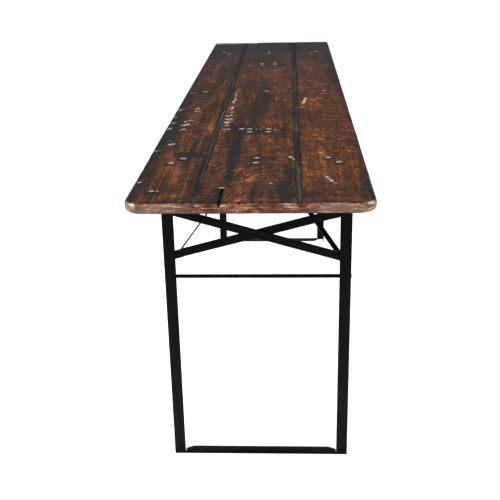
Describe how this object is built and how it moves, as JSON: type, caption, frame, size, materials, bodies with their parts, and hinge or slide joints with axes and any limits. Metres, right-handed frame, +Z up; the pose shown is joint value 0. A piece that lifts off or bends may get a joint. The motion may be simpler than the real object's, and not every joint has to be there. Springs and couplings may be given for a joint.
{
  "type": "folding beer garden table",
  "caption": "Long narrow plank-topped trestle table on hinged angle-iron leg frames, with crossed braces and spring-latched stays that let the frames fold flat under the top.",
  "frame": {"origin": "on the floor under the middle of the top", "axes": "+Z up; +Y along the top's length, from the near end to the far end; +X across the top to the right when seen from the near end"},
  "size_m": [0.478, 2.2, 0.77],
  "materials": {
    "plank": "dark stain, worn and oiled",
    "seam_filler": "dark filler",
    "batten": "bare, aged",
    "black_paint": "satin black paint",
    "bolt_steel": "worn zinc",
    "spring_steel": "blued spring steel"
  },
  "bodies": {
    "top": {"batten_bolts": "bolt_steel", "batten_nuts": "bolt_steel", "batten_washers": "bolt_steel", "centre_batten": "batten", "far_batten": "batten", "far_hinge_rail": "black_paint", "far_latch_bolts": "bolt_steel", "far_latch_hook": "black_paint", "far_latch_nuts": "bolt_steel", "far_latch_spring": "spring_steel", "far_pivot_bolts": "bolt_steel", "far_pivot_nuts": "bolt_steel", "far_pivot_washers": "bolt_steel", "far_rail_bolts": "bolt_steel", "far_rail_nuts": "bolt_steel", "far_spring_rivet": "spring_steel", "left_board": "plank", "left_seam_filler": "seam_filler", "middle_board": "plank", "near_batten": "batten", "near_hinge_rail": "black_paint", "near_latch_bolts": "bolt_steel", "near_latch_hook": "black_paint", "near_latch_nuts": "bolt_steel", "near_latch_spring": "spring_steel", "near_pivot_bolts": "bolt_steel", "near_pivot_nuts": "bolt_steel", "near_pivot_washers": "bolt_steel", "near_rail_bolts": "bolt_steel", "near_rail_nuts": "bolt_steel", "near_spring_rivet": "spring_steel", "right_board": "plank", "right_seam_filler": "seam_filler"},
    "near_leg_frame": {"near_brace_rivet": "black_paint", "near_cross_rod": "black_paint", "near_foot_bar": "black_paint", "near_foot_rivets": "black_paint", "near_front_brace": "black_paint", "near_left_leg": "black_paint", "near_rear_brace": "black_paint", "near_right_leg": "black_paint"},
    "near_stay": {"near_stay_crossbar": "black_paint", "near_stay_rod": "black_paint", "near_stay_strap": "black_paint"},
    "far_leg_frame": {"far_brace_rivet": "black_paint", "far_cross_rod": "black_paint", "far_foot_bar": "black_paint", "far_foot_rivets": "black_paint", "far_front_brace": "black_paint", "far_left_leg": "black_paint", "far_rear_brace": "black_paint", "far_right_leg": "black_paint"},
    "far_stay": {"far_stay_crossbar": "black_paint", "far_stay_rod": "black_paint", "far_stay_strap": "black_paint"}
  },
  "joints": [
    {"name": "near_leg_fold", "type": "hinge", "parent": "top", "child": "near_leg_frame", "pos_m": [0, -0.7605, 0.73], "axis": [1, 0, 0], "range_deg": [0, 90], "deforming": ["near_latch_spring"]},
    {"name": "near_stay_swing", "type": "hinge", "parent": "near_leg_frame", "child": "near_stay", "pos_m": [0, -0.762, 0.481], "axis": [1, 0, 0], "range_deg": [-134, 0]},
    {"name": "far_leg_fold", "type": "hinge", "parent": "top", "child": "far_leg_frame", "pos_m": [0, 0.7605, 0.73], "axis": [-1, 0, 0], "range_deg": [0, 90], "deforming": ["far_latch_spring"]},
    {"name": "far_stay_swing", "type": "hinge", "parent": "far_leg_frame", "child": "far_stay", "pos_m": [0, 0.762, 0.481], "axis": [-1, 0, 0], "range_deg": [-134, 0]}
  ],
  "couplings": [
    {"joint": "near_stay_swing", "follows": "near_leg_fold", "ratio": -1.4878},
    {"joint": "far_stay_swing", "follows": "far_leg_fold", "ratio": -1.4878}
  ]
}
